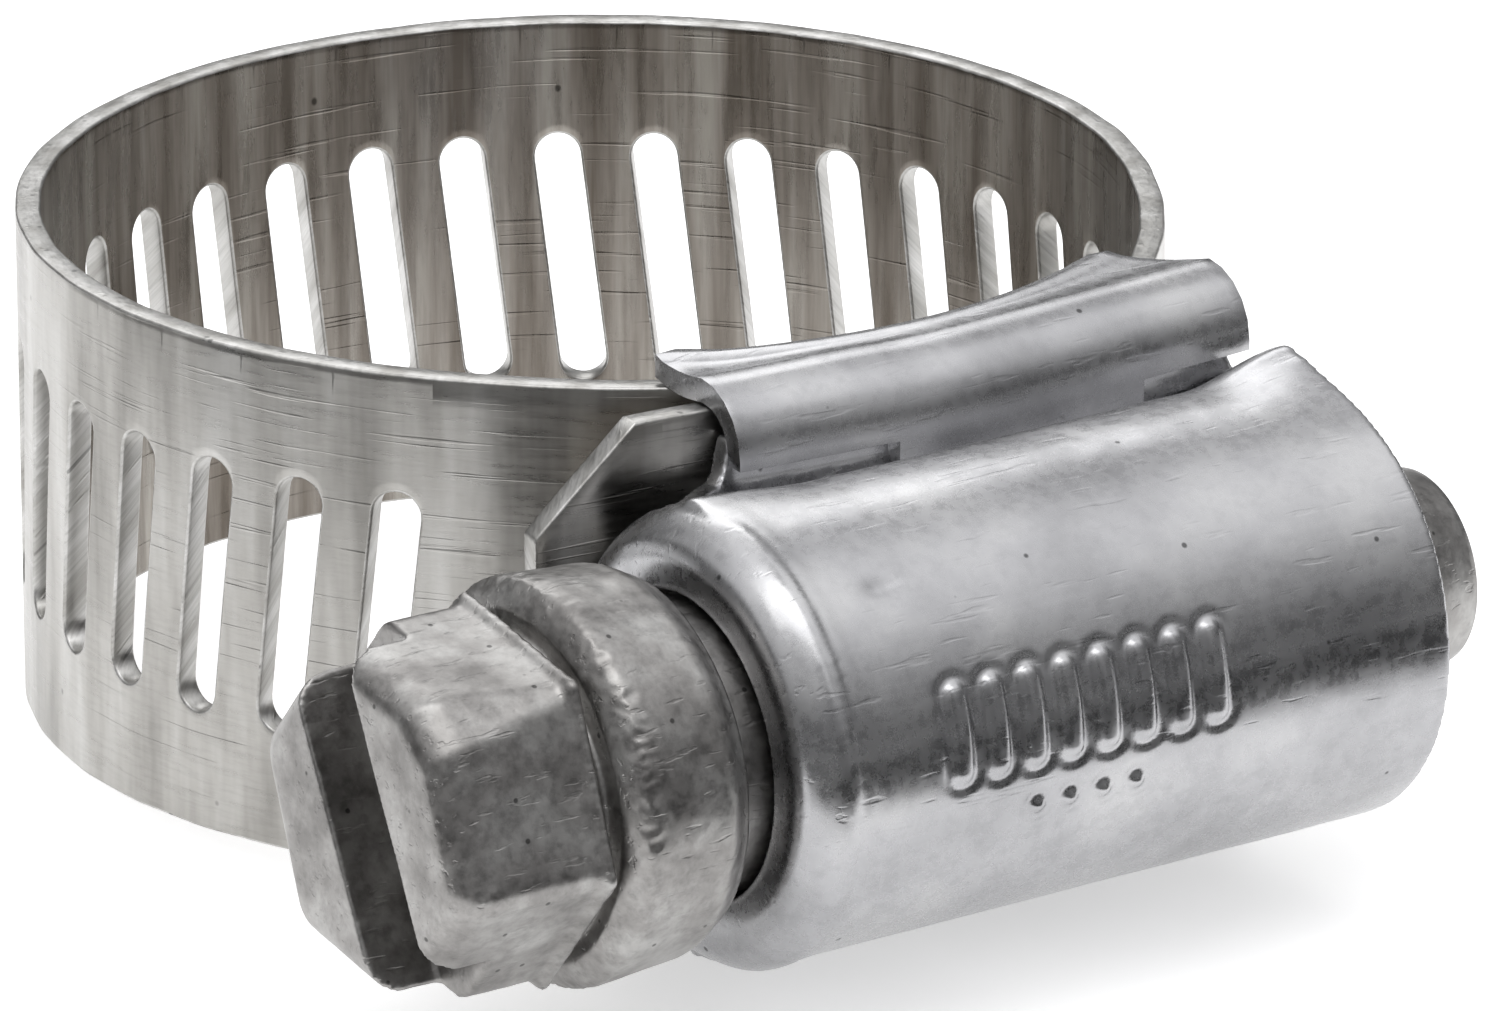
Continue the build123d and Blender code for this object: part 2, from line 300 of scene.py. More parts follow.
def slotCell(middle):
    # strip from mid-link to mid-link round one slot: boundary points in step with the hole's
    half = band["pitch"] / 2
    side = len(zLevels) - 1
    across = 10
    outer = [(half, z) for z in zLevels[:-1]]
    outer += [(half - 2 * half * i / across, flatHalf) for i in range(across)]
    outer += [(-half, z) for z in reversed(zLevels[1:])]
    outer += [(-half + 2 * half * i / across, -flatHalf) for i in range(across)]
    total = len(outer)
    lean = -math.radians(band["slotLean"])
    straight = (band["slotLength"] - band["slotWidth"]) / 2

    def hole(i, grown):
        radius = band["slotWidth"] / 2 + grown
        i = (i - 3) % total
        if i < 16:
            x, z = radius, straight * (i / 8 - 1)
        elif i < 32:
            turn = (i - 16) * math.pi / 16
            x, z = radius * math.cos(turn), straight + radius * math.sin(turn)
        elif i < 48:
            x, z = -radius, straight * (1 - (i - 32) / 8)
        else:
            turn = (i - 48) * math.pi / 16
            x, z = -radius * math.cos(turn), -straight - radius * math.sin(turn)
        return x * math.cos(lean) + z * math.sin(lean), z * math.cos(lean) - x * math.sin(lean)

    points, faces, kinds = [], [], []
    rings = []
    for share in (1, 0.95, 0.72, 0.45, 0.2, 0.07, 0):
        rings.append([(h[0] + (o[0] - h[0]) * share, h[1] + (o[1] - h[1]) * share, halfThick)
                      for h, o in ((hole(i, rounding), outer[i]) for i in range(total))])
    rings += [[hole(i, grown) + (off,) for i in range(total)] for grown, off in edgeProfile[1:-1]]
    for share in (0, 0.07, 0.2, 0.45, 0.72, 0.95, 1):
        rings.append([(h[0] + (o[0] - h[0]) * share, h[1] + (o[1] - h[1]) * share, -halfThick)
                      for h, o in ((hole(i, rounding), outer[i]) for i in range(total))])
    for ring in rings:
        points += ring
    for r in range(len(rings) - 1):
        kind = 0 if r < 6 else 1 if r > 10 else 2
        for i in range(total):
            j = (i + 1) % total
            faces.append((r * total + i, r * total + j, (r + 1) * total + j, (r + 1) * total + i))
            kinds.append(kind)
    for first, sign in ((side, 1), (2 * side + across, -1)):  # the two long edges
        start = len(points)
        for inset, off in edgeProfile:
            for i in range(across + 1):
                points.append((outer[(first + i) % total][0], sign * (halfWidth - inset), off))
        for r in range(len(edgeProfile) - 1):
            for i in range(across):
                a = start + r * (across + 1) + i
                faces.append((a, a + 1, a + across + 2, a + across + 1))
                kinds.append(2)
    return [(x + middle, z, off) for x, z, off in points], faces, kinds


def plainRun(start, finish, capStart, capEnd):
    # strip without slots: one closed section swept along it
    points, faces, kinds = [], [], []
    steps = max(2, round((finish - start) / 0.35))
    stations = [start + (finish - start) * i / steps for i in range(steps + 1)]
    taperFrom = bandEnd - band["tipTaper"]
    if start < taperFrom < finish:
        stations = sorted(stations + [taperFrom])
    stations = [(s, 0.0) for s in stations]
    stations[0:1] = [(start, 0.0), (start + 0.03, 0.0)]
    stations[-1:] = [(finish - 0.03, 0.0), (finish, 0.0)]
    if capStart:
        stations[:2] = [(start, rounding), (start + 0.29 * rounding, 0.29 * rounding),
                        (start + rounding, 0.0)]
    if capEnd:
        stations[-2:] = [(finish - rounding, 0.0), (finish - 0.29 * rounding, 0.29 * rounding),
                         (finish, rounding)]
    rows = len(zLevels)
    for s, inset in stations:
        wide = halfWidth
        if s > taperFrom:
            wide += (band["tipHalf"] - halfWidth) * (s - taperFrom) / band["tipTaper"]
        loop = [(z * (wide - rounding) / flatHalf, halfThick) for z in zLevels]
        loop += [(wide - inner, off) for inner, off in edgeProfile[1:-1]]
        loop += [(z * (wide - rounding) / flatHalf, -halfThick) for z in reversed(zLevels)]
        loop += [(inner - wide, off) for inner, off in reversed(edgeProfile[1:-1])]
        points += [(s, z * (1 - inset / wide), off * (1 - inset / halfThick)) for z, off in loop]
    count = 2 * rows + 8
    for i in range(len(stations) - 1):
        for j in range(count):
            k = (j + 1) % count
            faces.append((i * count + j, i * count + k, (i + 1) * count + k, (i + 1) * count + j))
            kinds.append(0 if j < rows - 1 else 1 if rows + 4 <= j < 2 * rows + 3 else 2)
    for cap, base in ((capStart, 0), (capEnd, (len(stations) - 1) * count)):
        if cap:
            for j in range(rows - 1):
                mate = 2 * rows + 3 - j
                faces.append((base + j, base + j + 1, base + mate - 1, base + mate))
                kinds.append(2)
            faces.append(tuple(base + rows - 1 + j for j in range(6)))
            faces.append(tuple(base + 2 * rows + 3 + j for j in range(5)) + (base,))
            kinds += [2, 2]
    return points, faces, kinds


def strip(name, start, finish, capStart=False, capEnd=False):
    points, faces, kinds = [], [], []
    inside = [s for s in slots if start < s < finish]
    runs = []
    place = start
    for s in inside:
        if s - band["pitch"] / 2 > place + 0.01:
            runs.append(plainRun(place, s - band["pitch"] / 2, capStart and place == start, False))
        runs.append(slotCell(s))
        place = s + band["pitch"] / 2
    if finish > place + 0.01:
        runs.append(plainRun(place, finish, capStart and place == start, capEnd))
    for runPoints, runFaces, runKinds in runs:
        base = len(points)
        points += runPoints
        faces += [tuple(base + i for i in face) for face in runFaces]
        kinds += runKinds
    mesh = bpy.data.meshes.new(name)
    mesh.from_pydata(points, [], faces)
    mesh.polygons.foreach_set("material_index", kinds)
    bm = bmesh.new()
    bm.from_mesh(mesh)
    bmesh.ops.remove_doubles(bm, verts=bm.verts, dist=1e-4)
    bmesh.ops.recalc_face_normals(bm, faces=bm.faces)
    uv = bm.loops.layers.uv.new("UVMap")
    for face in bm.faces:
        for loop in face.loops:
            s, z, off = loop.vert.co
            loop[uv].uv = (s / 100, (z + off) / 100)
    for vertex in bm.verts:
        s, z, off = vertex.co
        edge = smoothStep(abs(z), flatHalf - 0.3, halfWidth)
        z += edge * band["edgeWander"] * wobble((s, 40 * math.copysign(1, z), 0), 1.3)
        off *= 1 - 0.05 * edge * max(0, wobble((s, off * 3, z), 0.5, 3))
        off -= band["linkFlat"] * (1 - math.cos(2 * math.pi * (s - slots[0]) / band["pitch"]))
        off += band["wave"] * (wobble((s, 0, 0), 4.5, 8) - 0.5)
        x, y = bandPoint(s, off)
        vertex.co = (x * mm, y * mm, min(max(z, -halfWidth), halfWidth) * mm)
    bm.to_mesh(mesh)
    bm.free()
    mesh.shade_smooth()
    mesh.set_sharp_from_angle(angle=math.radians(60))
    for material in (rolledOutside, rolledInside, shearedEdge):
        mesh.materials.append(material)
    piece = bpy.data.objects.new(name, mesh)
    bpy.context.scene.collection.objects.link(piece)
    return piece


pitch = band["pitch"]
bandBodies = ["root"] + [f"band_arc_{n:02d}" for n in range(1, 10)] + ["band_tail"]
fixedEnd = strip("bandFixedEnd", 0, hinges[0] - pitch, capStart=True)
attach(fixedEnd, "root")
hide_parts("band_fixed_end")
for n, hinge in enumerate(hinges):
    finish = hinges[n + 1] - pitch if n + 1 < len(hinges) else hinge + 2 * pitch
    link = strip(f"bandLink{n + 1:02d}", hinge - pitch, finish)
    lowEnd, highEnd = bandPoint(hinge - pitch), bandPoint(hinge + pitch)
    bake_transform(link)
    if n < 9:
        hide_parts(bandBodies[n + 1])
tail = strip("bandTail", hinges[-1] + 2 * pitch, bandEnd, capEnd=True)
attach(tail, "band_tail")
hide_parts("band_tail")
print("band made,", len(slots), "slots")

# the saddle: a pressed channel, its sides folded over the housing's feet
saddle = {
    "thick": 0.6, "wallMid": 6.78, "cornerRound": 0.55, "foldRound": 1.35,
    "footThick": 0.65, "roof": tailMid + halfThick + 0.08,
    "floorEnds": (-21, 24), "wallEnds": (-27.0, 28.0), "lipEnds": (-6.45, 8.55),
    "longTab": (-2.1, 5.2), "tabEdges": (5.15, 4.5),  # end tabs, middle tab
    "edgeRound": 0.1, "hollow": 0.1,  # how far each wall is dished
}


def roofPoint(x, offset):
    radius = saddle["roof"] + offset
    lean = math.radians(band["roofFlat"])
    edge = radius * math.sin(lean)
    if abs(x) <= edge:
        return np.array((x, -math.sqrt(radius * radius - x * x)))
    return np.array((x, -radius * math.cos(lean) + (abs(x) - edge) * math.tan(lean)))


def saddleRows():
    # rows of the half section from mid floor to lip: kind, share or angle, height
    rows = [("floor", 0, z) for z in (0, 1.5, 3, 4.4, 5.5)]
    flat = saddle["wallMid"] - saddle["cornerRound"]
    rows += [("corner", a, flat + saddle["cornerRound"] * math.sin(math.radians(a)))
             for a in (0, 22.5, 45, 67.5, 90)]
    rows += [("wall", share, saddle["wallMid"]) for share in (0.15, 0.32, 0.5, 0.68, 0.85)]
    low = saddle["wallMid"] - saddle["foldRound"]
    rows += [("fold", a, low + saddle["foldRound"] * math.cos(math.radians(a)))
             for a in (0, 18, 36, 54, 72, 90)]
    rows += [("lip", 0, z) for z in saddle["tabEdges"]]
    return rows


def saddlePoint(u, xOut, row):
    kind, value, z = row
    floorBearing = saddle["floorEnds"][0] + (saddle["floorEnds"][1] - saddle["floorEnds"][0]) * u
    wallBearing = saddle["wallEnds"][0] + (saddle["wallEnds"][1] - saddle["wallEnds"][0]) * u
    floorMid = band["bore"] + saddle["thick"] / 2
    curl = 0.75 * (1 - smoothStep(u, 0, 0.11))  # the left inner tip curls into the bore
    if kind == "floor":
        return np.append(out(floorBearing, floorMid), z)
    if kind == "corner":
        share = value / 90
        turn = floorBearing + (wallBearing - floorBearing) * share ** 1.5
        radius = floorMid + saddle["cornerRound"] * (1 - math.cos(math.radians(value)))
        radius -= curl * share * (1.2 - share)
        return np.append(out(turn, radius), z)
    inner = out(wallBearing, floorMid + saddle["cornerRound"] - 0.2 * curl)
    top = saddle["footThick"] + saddle["thick"] / 2
    outer = roofPoint(xOut, top - saddle["foldRound"])
    if kind == "wall":
        dish = saddle["hollow"] * math.sin(math.pi * value) * (0.6 + 0.4 * math.cos(2 * math.pi * u))
        return np.append(inner + (outer - inner) * value, z - dish)
    if kind == "fold":
        return np.append(roofPoint(xOut, top - saddle["foldRound"] * (1 - math.sin(math.radians(value)))), z)
    return np.append(roofPoint(xOut, top), z)


half = saddleRows()
rows = [("low", row) for row in reversed(half[1:])] + [("high", row) for row in half]
xLow, xHigh = saddle["lipEnds"]
stations = sorted([xLow + (xHigh - xLow) * i / 48 for i in range(49)] + list(saddle["longTab"]))
points, faces = [], []
for x in stations:
    u = (x - xLow) / (xHigh - xLow)
    for side, row in rows:
        p = saddlePoint(u, x, row)
        p[2] += 0.05 * wobble(p, 3.2, 7) * (row[0] in ("wall", "fold")) - 0.04 * (row[0] in ("wall", "fold"))
        if side == "low":
            p[2] = -p[2]
        points.append(p * mm)
count = len(rows)
for i in range(len(stations) - 1):
    middle = (stations[i] + stations[i + 1]) / 2
    short = not saddle["longTab"][0] < middle < saddle["longTab"][1]
    for j in range(count - 1):
        if short and j in (0, count - 2):
            continue  # the end tabs stop one row earlier
        faces.append((i * count + j, i * count + j + 1, (i + 1) * count + j + 1, (i + 1) * count + j))
saddlePiece = makeObject("saddlePressing", points, faces, [pressedSheet])
bm = bmesh.new()
bm.from_mesh(saddlePiece.data)
bmesh.ops.delete(bm, geom=[v for v in bm.verts if not v.link_faces], context="VERTS")
bm.to_mesh(saddlePiece.data)
bm.free()
thicken = saddlePiece.modifiers.new("thicken", "SOLIDIFY")
thicken.thickness = saddle["thick"] * mm
thicken.offset = 0
thicken.use_even_offset = True
soften = saddlePiece.modifiers.new("soften", "BEVEL")
soften.width = saddle["edgeRound"] * mm
soften.segments = 3
soften.limit_method = "ANGLE"
soften.angle_limit = math.radians(50)
applyModifiers(saddlePiece)
saddlePiece.data.shade_smooth()
saddlePiece.data.set_sharp_from_angle(angle=math.radians(50))
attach(saddlePiece, "root")
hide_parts("saddle")
print("saddle made")

# the housing: one formed shell, remeshed so that its bends run into each other
housing = {
    "drop": 19.38, "radius": 5.5, "wall": 0.65, "left": -9.3, "right": 8.2,
    "neckHalf": 4.35, "footEnd": 5.75, "feet": (-6.3, 8.3), "lipLeft": -10.3, "leftHole": 3.75,
    "rightHole": 3.3, "voxel": 0.11,
    "earRight": 0.6, "earLeft": 0.3, "earLow": 0.45,  # how far the shell flares at its corners
    "ribs": 8, "ribPitch": 1.05, "ribHeight": 0.1, "ribStart": -6.0, "ribArc": 1.1,  # the plain stamped row
    "leftFall": 1.4,  # how far the shell's top edge falls away past the saddle
}


def earHeight(x, side):
    right = smoothStep(x, 5.2, housing["right"]) * housing["earRight"] * (1 if side > 0 else 0.25)
    left = smoothStep(-x, 5.6, -housing["left"]) * (housing["earLeft"] if side > 0 else housing["earLow"])
    return right + left


def shellPath(x, side):
    # outer face of half the section, from foot end to the middle of the barrel, as Y, Z
    ear = earHeight(x, side)
    footLeft, footRight = housing["feet"]
    footed = smoothStep(x, footLeft - 0.5, footLeft) * (1 - smoothStep(x, footRight - 0.5, footRight))
    under = roofPoint(x, saddle["footThick"])[1] - 0.3 * (1 - footed)
    under -= housing["leftFall"] * smoothStep(-x, 6.4, -housing["left"])
    neck = housing["neckHalf"] + 0.5 * ear
    foot = neck + 0.36 + (housing["footEnd"] - neck - 0.36) * footed
    path = [(under, foot), (under, neck + 0.35 + (foot - neck - 0.35) * 0.66),
            (under, neck + 0.35 + (foot - neck - 0.35) * 0.33), (under, neck + 0.35)]
    path += [(under - 0.35 * math.sin(math.radians(a)), neck + 0.35 - 0.35 * math.cos(math.radians(90 - a)))
             for a in (25, 50, 75, 90)]
    turn = math.radians(80)
    radius = housing["radius"] + ear
    last = np.array((-housing["drop"] + radius * math.cos(turn), radius * math.sin(turn)))
    first = np.array((under - 0.45, neck))
    pull = last + np.array((math.sin(turn), -math.cos(turn))) * 0.95
    push = first + np.array((-0.75, 0.05))
    for i in range(1, 13):
        t = i / 13
        path.append(tuple((1 - t) ** 3 * first + 3 * (1 - t) ** 2 * t * push
                          + 3 * (1 - t) * t * t * pull + t ** 3 * last))
    for i in range(31):
        a = 80 + 100 * i / 30
        swell = ear * math.exp(-((a - 74) / 17) ** 2) + (housing["radius"])
        swell = min(swell, radius) if a > 80 else radius
        path.append((-housing["drop"] + swell * math.cos(math.radians(a)), swell * math.sin(math.radians(a))))
    return path


def shellRing(x):
    high = shellPath(x, 1)
    low = [(y, -z) for y, z in shellPath(x, -1)]
    outer = np.array(high + low[-2::-1])
    along = np.gradient(outer, axis=0)
    along /= np.linalg.norm(along, axis=1)[:, None]
    inner = outer + np.stack([along[:, 1], -along[:, 0]], 1) * -housing["wall"]
    if np.hypot(inner[50, 0] + housing["drop"], inner[50, 1]) > housing["radius"]:
        inner = outer + np.stack([along[:, 1], -along[:, 0]], 1) * housing["wall"]
    ring = np.vstack([outer, inner[::-1]])
    cap = roofPoint(x, 0)[1]
    return [(x * mm, min(y, cap) * mm, z * mm) for y, z in ring]


def turned(profile, segments=160):
    # closed ring about the screw's axis from X and radius, cut flat where the band passes
    points, faces = [], []
    for i in range(segments):
        a = 2 * math.pi * i / segments
        for x, r in profile:
            y = min(-housing["drop"] + r * math.cos(a), roofPoint(x, 0)[1])
            points.append((x * mm, y * mm, r * math.sin(a) * mm))
    count = len(profile)
    for i in range(segments):
        k = (i + 1) % segments
        for j in range(count):
            m = (j + 1) % count
            faces.append((i * count + j, i * count + m, k * count + m, k * count + j))
    return points, faces


xStations = list(np.linspace(housing["left"], housing["right"], 60))
shell = loft([shellRing(x) for x in xStations])
left, lip, wall = housing["left"], housing["lipLeft"], housing["wall"]
hole = housing["leftHole"]
leftRing = turned([(left + 0.3, 5.0), (left + 0.3, 5.58), (left, 5.6), (left - 0.3, 5.46),
                   (left - 0.62, 5.24), (left - 0.86, 5.0), (lip, 4.6), (lip, hole + 0.1),
                   (lip + 0.12, hole), (lip + wall, hole), (lip + wall, 5.0)])
right = housing["right"]
rightRing = turned([(right - wall, housing["rightHole"]), (right - wall, 5.3), (right - 0.1, 5.3),
                    (right, 5.2), (right, housing["rightHole"])])
points, faces = joinShells(shell, leftRing, rightRing)
housingPiece = makeObject("housingShell", points, faces, [pressedSheet])
fuse = housingPiece.modifiers.new("fuse", "REMESH")
fuse.mode = "VOXEL"
fuse.voxel_size = housing["voxel"] * mm
relax = housingPiece.modifiers.new("relax", "SMOOTH")
relax.factor = 0.5
relax.iterations = 4
applyModifiers(housingPiece)


def stamped(x, angle):
    # height of the plain stamped row: even upright ribs, then a shorter row of dots under it
    arc = (180 - angle % 360) / 57.3 * housing["radius"] - housing["ribArc"]
    nearest = 9.0
    for n in range(housing["ribs"]):
        dx = x - housing["ribStart"] - n * housing["ribPitch"]
        nearest = min(nearest, math.hypot(dx, max(abs(arc) - 0.95, 0)))
    for n in range(4):
        nearest = min(nearest, 0.08 + math.hypot(x - housing["ribStart"] - 2.2 - 0.95 * n, arc + 2.3))
    moat = math.exp(-((nearest - 0.42) / 0.12) ** 2)
    return (1 - smoothStep(nearest, 0.14, 0.32) - 0.55 * moat) * housing["ribHeight"]


for vertex in housingPiece.data.vertices:
    x, y, z = vertex.co / mm
    dy, radius = y + housing["drop"], math.hypot(y + housing["drop"], z)
    angle = math.degrees(math.atan2(z, dy))
    shift = 0.02 * wobble((x, y, z), 2.6, 5) + 0.006 * wobble((x, y, z), 0.7, 9)
    if radius > 5.3 and abs(angle) > 78:
        shift += stamped(x, angle)
        ridge = math.exp(-((x + 8.75) / 0.3) ** 2) * 0.03 * smoothStep(abs(angle), 80, 110)
        dent = -0.09 * math.exp(-((x + 6.9) / 0.5) ** 2 - ((angle - 128) / 3.2) ** 2)
        shift += ridge + dent
    if radius > 0.1:
        vertex.co.y += shift * dy / radius * mm
        vertex.co.z += shift * z / radius * mm
housingPiece.data.shade_smooth()
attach(housingPiece, "root")
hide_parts("housing")
print("housing made,", len(housingPiece.data.polygons), "faces")

# the screw: slotted hex head and collar worn round, then worm and pilot
screw = {
    "front": -19.3, "faceFlats": 6.5, "chamfer": 1.0, "flats": 7.94, "hexTurn": 10, "ledge": -15.45,
    "cornerWear": 0.12, "wornCorner": 130, "wornMore": 0.3,  # corners knocked round, one more than the rest
    "slotWidth": 2.5, "slotDepth": 1.8, "slotTurn": 64, "collarFront": -14.8, "collarRadius": 4.95,
    "collarBack": -11.3, "backRadius": 4.45, "neck": 3.6, "wormLeft": -9.45, "wormRight": 7.35,
    "root": 3.3, "crest": 4.4, "pitch": 2.54, "threadFrom": -5.8115, "threadTurns": 4,
    "pilot": 3.15, "pilotEnd": 9.0, "tip": 11.38, "tipRadius": 2.4, "voxel": 0.08,
    "knocks": 0.05,  # depth of the tumbling marks
}
axisY = -housing["drop"]


def hexRadius(angle, flats):
    turn = (angle - screw["hexTurn"] + 30) % 60 - 30
    return flats / 2 / math.cos(math.radians(turn))


def turnedGrid(profile, radiusAt, segments=180):
    # solid about the screw's axis: profile gives X, radiusAt the radius at each angle
    rings = []
    for x in profile:
        ring = []
        for i in range(segments):
            a = 360 * i / segments
            r = radiusAt(x, a)
            y, z = axisY + r * math.cos(math.radians(a)), r * math.sin(math.radians(a))
            ring.append((x * mm, y * mm, z * mm))
        rings.append(ring)
    return loft(rings)


def headRadius(x, angle):
    # each flat rolls over towards the face, and the corners are worn rounder than they were forged
    roll = min(max((screw["front"] + screw["chamfer"] - x) / screw["chamfer"], 0), 1)
    flats = screw["faceFlats"] + (screw["flats"] - screw["faceFlats"]) * math.sqrt(1 - roll ** 2)
    away = (angle - screw["wornCorner"] + 180) % 360 - 180
    wear = screw["cornerWear"] + screw["wornMore"] * math.exp(-(away / 16) ** 2) * smoothStep(-x, 15.2, 19)
    return min(hexRadius(angle + 30, flats), flats / math.sqrt(3) - wear)


def collarRadius(x, angle):
    t = smoothStep(x, screw["collarFront"], screw["collarFront"] + 0.55)
    r = 4.3 + (screw["collarRadius"] - 4.3) * math.sqrt(t)
    r -= 0.15 * smoothStep(x, -14.4, -12)
    back = smoothStep(x, screw["collarBack"] - 0.8, screw["collarBack"])
    return r - back * (r - screw["backRadius"])


head = turnedGrid([screw["front"] + screw["chamfer"] * (i / 12) ** 1.6 for i in range(13)] +
                  [-17.5, -16.5, screw["ledge"]], headRadius)
ledge = turnedGrid([screw["ledge"] - 0.02, screw["ledge"] + 0.1, screw["ledge"] + 0.3],
                   lambda x, a: hexRadius(a + 30, screw["flats"] + (0.34 if x > screw["ledge"] else 0.1)))
core = turnedGrid([screw["ledge"], screw["collarFront"] + 0.5], lambda x, a: 3.8)
collar = turnedGrid([screw["collarFront"] + 0.05 * i for i in range(12)] + [-14, -13, -12.2] +
                    [screw["collarBack"] - 0.8 + 0.1 * i for i in range(9)], collarRadius)
points, faces = joinShells(head, ledge, core, collar)
headPiece = makeObject("screwHead", points, faces, [headedSteel])
cutter = bmesh.new()
bmesh.ops.create_cube(cutter, size=1)
turn = Matrix.Rotation(math.radians(screw["slotTurn"]), 4, "X")
size = Matrix.Diagonal((2 * screw["slotDepth"] * mm, 14 * mm, screw["slotWidth"] * mm, 1))
place = Matrix.Translation((screw["front"] * mm, axisY * mm, 0))
bmesh.ops.transform(cutter, matrix=place @ turn @ size, verts=cutter.verts)
cutterMesh = bpy.data.meshes.new("driverSlot")
cutter.to_mesh(cutterMesh)
cutter.free()
cutterPiece = bpy.data.objects.new("driverSlot", cutterMesh)
bpy.context.scene.collection.objects.link(cutterPiece)
fuse = headPiece.modifiers.new("fuse", "REMESH")
fuse.mode = "VOXEL"
fuse.voxel_size = screw["voxel"] * mm
cut = headPiece.modifiers.new("cut", "BOOLEAN")
cut.object = cutterPiece
cut.operation = "DIFFERENCE"
again = headPiece.modifiers.new("again", "REMESH")
again.mode = "VOXEL"
again.voxel_size = fuse.voxel_size
relax = headPiece.modifiers.new("relax", "SMOOTH")
relax.factor = 0.5
relax.iterations = 3
applyModifiers(headPiece)
bpy.data.objects.remove(cutterPiece)
for vertex in headPiece.data.vertices:
    x, y, z = vertex.co / mm
    dy, radius = y - axisY, math.hypot(y - axisY, z)
    edge = math.exp(-((x - screw["collarFront"] - 0.45) / 0.4) ** 2)
    shift = 0.02 * wobble((x, y, z), 1.5, 2) + 0.01 * wobble((x, y, z), 0.45, 4)
    shift -= screw["knocks"] * edge * abs(wobble((x, y, z), 0.35, 6)) * 1.6
    shift -= screw["knocks"] * max(0, wobble((x, y, z), 1.1, 11) - 0.25)
    vertex.co.y += shift * dy / max(radius, 0.1) * mm
    vertex.co.z += shift * z / max(radius, 0.1) * mm
headPiece.data.shade_smooth()


def wormRadius(x, angle):
    if x > screw["wormRight"]:
        if x <= screw["pilotEnd"]:
            return screw["pilot"]
        share = (x - screw["pilotEnd"]) / (screw["tip"] - screw["pilotEnd"])
        return screw["pilot"] + (screw["tipRadius"] - screw["pilot"]) * share
    if x < screw["wormLeft"]:
        return screw["neck"]
    turns = (x - screw["threadFrom"]) / screw["pitch"]
    phase = (turns - (angle - 90) / 360 + 0.5) % 1 - 0.5
    inside = smoothStep(x, screw["threadFrom"] - 0.4, screw["threadFrom"] + 0.3)
    threadTo = screw["threadFrom"] + screw["threadTurns"] * screw["pitch"]
    inside *= 1 - smoothStep(x, threadTo - 0.3, threadTo + 0.4)
    flank = 1 - smoothStep(abs(phase) * screw["pitch"], 0.3, 0.58)
    return screw["root"] + (screw["crest"] - screw["root"]) * flank * inside


shankStations = [screw["collarBack"] - 0.3, screw["wormLeft"] - 0.001, screw["wormLeft"]]
shankStations += list(np.arange(screw["wormLeft"] + 0.1, screw["wormRight"], 0.1))
shankStations += [screw["wormRight"], screw["wormRight"] + 0.001]
shankStations += list(np.linspace(7.6, screw["tip"] - 0.3, 12))
points, faces = turnedGrid(shankStations + [screw["tip"] - 0.12, screw["tip"] - 0.03, screw["tip"]],
                           lambda x, a: wormRadius(x, a) - max(0, x - screw["tip"] + 0.12) ** 2 * 12, 144)
shank = makeObject("screwShank", points, faces, [headedSteel], sharp=50)
for piece in (headPiece, shank):
    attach(piece, "screw")
    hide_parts("screw")
print("screw made,", len(headPiece.data.polygons), "faces in the head")

# floor, light and camera
studio = {
    "floorLevel": -7.13, "floorGlow": 0.5, "exposure": 0.0,
    "overhead": 1.15, "horizon": 0.09, "below": 0.9,
    "flags": (((-0.042, -0.5), (0.5, -0.038)), ((-0.5, -0.5), (-0.046, 0.1))),  # corners of each dark card
}
floorMesh = bpy.data.meshes.new("floor")
level = studio["floorLevel"] * mm
floorMesh.from_pydata([(-3, -3, level), (3, -3, level), (3, 3, level), (-3, 3, level)], [], [(0, 1, 2, 3)])
floorPiece = bpy.data.objects.new("floor", floorMesh)
bpy.context.scene.collection.objects.link(floorPiece)
floorPaint = bpy.data.materials.new("palePaper")
floorPaint.use_nodes = True
tree = floorPaint.node_tree
tree.nodes.clear()
paper = addNode(tree, "ShaderNodeTexNoise", inputs={"Scale": 900.0, "Detail": 3.0})
tone = addNode(tree, "ShaderNodeValToRGB", settings={"stops": [
    (0.0, linear("#f4f4f4")), (1.0, linear("#ffffff"))]}, inputs={"Fac": paper.outputs["Fac"]})
shader = addNode(tree, "ShaderNodeBsdfPrincipled", inputs={
    "Base Color": tone.outputs["Color"], "Roughness": 0.9, "Specular IOR Level": 0.0,
    "Emission Color": tone.outputs["Color"], "Emission Strength": studio["floorGlow"]})
addNode(tree, "ShaderNodeOutputMaterial", inputs={"Surface": shader.outputs["BSDF"]})
floorMesh.materials.append(floorPaint)

# dark cards lie in front and to the left, seen only in the metal, as flags are used on shiny things
flagMesh = bpy.data.meshes.new("flags")
points, faces = [], []
for (lowX, lowY), (highX, highY) in studio["flags"]:
    start = len(points)
    corners = (lowX, lowY), (highX, lowY), (highX, highY), (lowX, highY)
    points += [(x, y, level + 0.2 * mm) for x, y in corners]
    faces.append(tuple(range(start, start + 4)))
flagMesh.from_pydata(points, [], faces)
flagPiece = bpy.data.objects.new("flags", flagMesh)
bpy.context.scene.collection.objects.link(flagPiece)
for ray in ("camera", "diffuse", "transmission", "volume_scatter", "shadow"):
    setattr(flagPiece, "visible_" + ray, False)
flagPaint = bpy.data.materials.new("blackFelt")
flagPaint.use_nodes = True
tree = flagPaint.node_tree
tree.nodes.clear()
fibres = addNode(tree, "ShaderNodeTexNoise", inputs={"Scale": 40.0, "Detail": 2.0})
tone = addNode(tree, "ShaderNodeValToRGB", settings={"stops": [
    (0.35, linear("#1c1c1c")), (0.65, linear("#3c3c3c"))]}, inputs={"Fac": fibres.outputs["Fac"]})
shader = addNode(tree, "ShaderNodeBsdfPrincipled", inputs={
    "Base Color": tone.outputs["Color"], "Roughness": 0.95, "Specular IOR Level": 0.0})
addNode(tree, "ShaderNodeOutputMaterial", inputs={"Surface": shader.outputs["BSDF"]})
flagMesh.materials.append(flagPaint)

